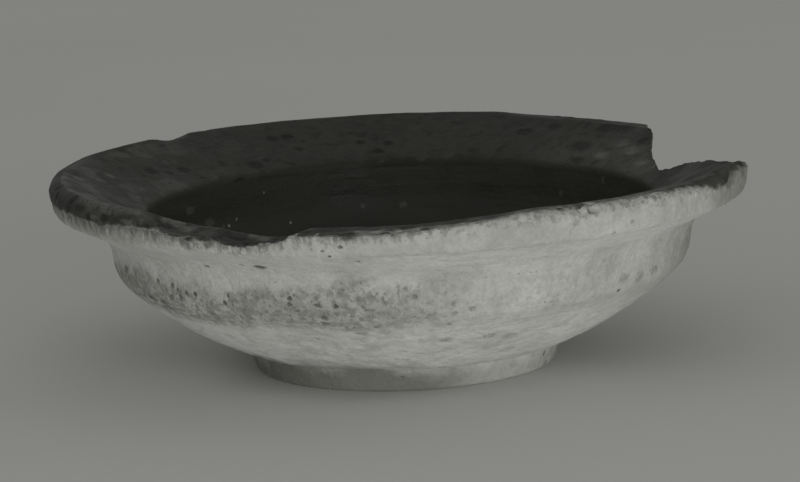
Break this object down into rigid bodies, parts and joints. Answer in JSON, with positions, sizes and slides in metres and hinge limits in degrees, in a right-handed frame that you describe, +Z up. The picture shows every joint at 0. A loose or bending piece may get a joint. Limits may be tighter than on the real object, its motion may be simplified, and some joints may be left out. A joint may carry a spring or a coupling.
{
  "type": "footed bowl",
  "caption": "Wide shallow fired-clay bowl with a thick everted rim broken at one side, a short upright wall and a low foot ring.",
  "frame": {"origin": "centre of the foot ring's resting face, on the vessel's axis", "axes": "+Z up along the vessel's axis, +X to the viewer's right in the picture, where the rim is broken, -Y towards the viewer"},
  "size_m": [0.1402, 0.14, 0.041],
  "materials": {
    "fired_clay": "matt, worn and pitted fired clay",
    "dark_slip": "dull dark slip",
    "worn_slip": "rubbed dark slip"
  },
  "bodies": {
    "root": {"bowl_body": "fired_clay", "rim": "fired_clay", "foot_ring": "fired_clay", "interior_slip": "dark_slip", "rim_slip": "worn_slip", "lip_slip": "worn_slip"}
  },
  "joints": []
}
